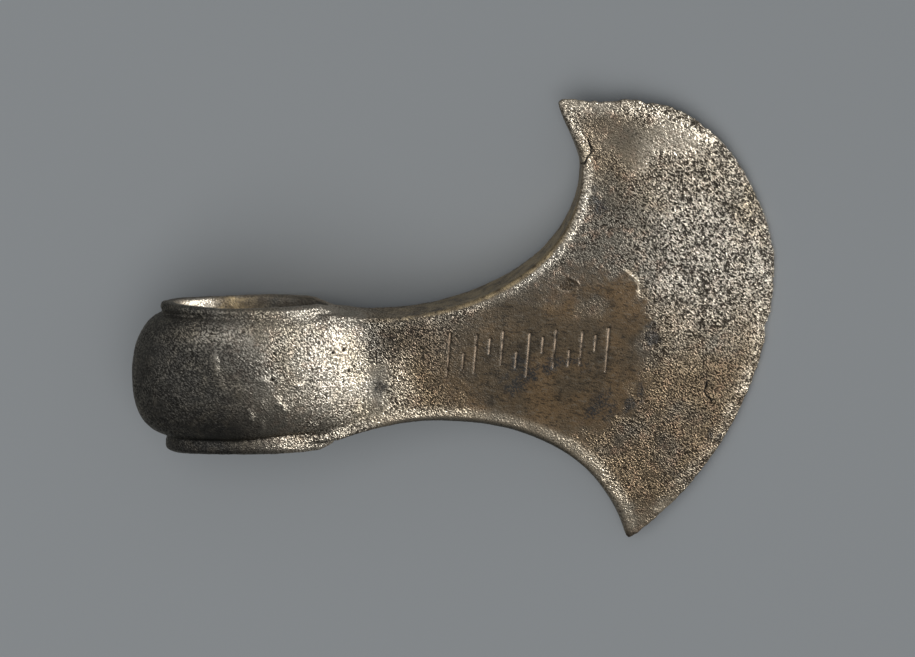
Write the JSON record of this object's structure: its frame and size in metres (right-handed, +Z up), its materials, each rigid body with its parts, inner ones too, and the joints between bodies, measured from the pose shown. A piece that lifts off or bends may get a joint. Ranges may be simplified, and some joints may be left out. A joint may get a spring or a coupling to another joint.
{
  "type": "axe head",
  "caption": "Cast bronze shaft-hole axe head with a collared oval socket, a flaring neck and a fan-shaped blade with a worn edge, lying on its side.",
  "frame": {"origin": "centre of the footprint, on the surface the head lies on", "axes": "+X from the socket to the cutting edge, +Y along the shaft hole towards the longer wing, +Z up from the surface on the side of the face with the strokes"},
  "size_m": [0.1404, 0.098, 0.0329],
  "materials": {
    "bronze": "corroded and patinated cast bronze, brown with dark stains and pale worn grain"
  },
  "bodies": {
    "root": {"axe_head": "bronze"}
  },
  "joints": []
}
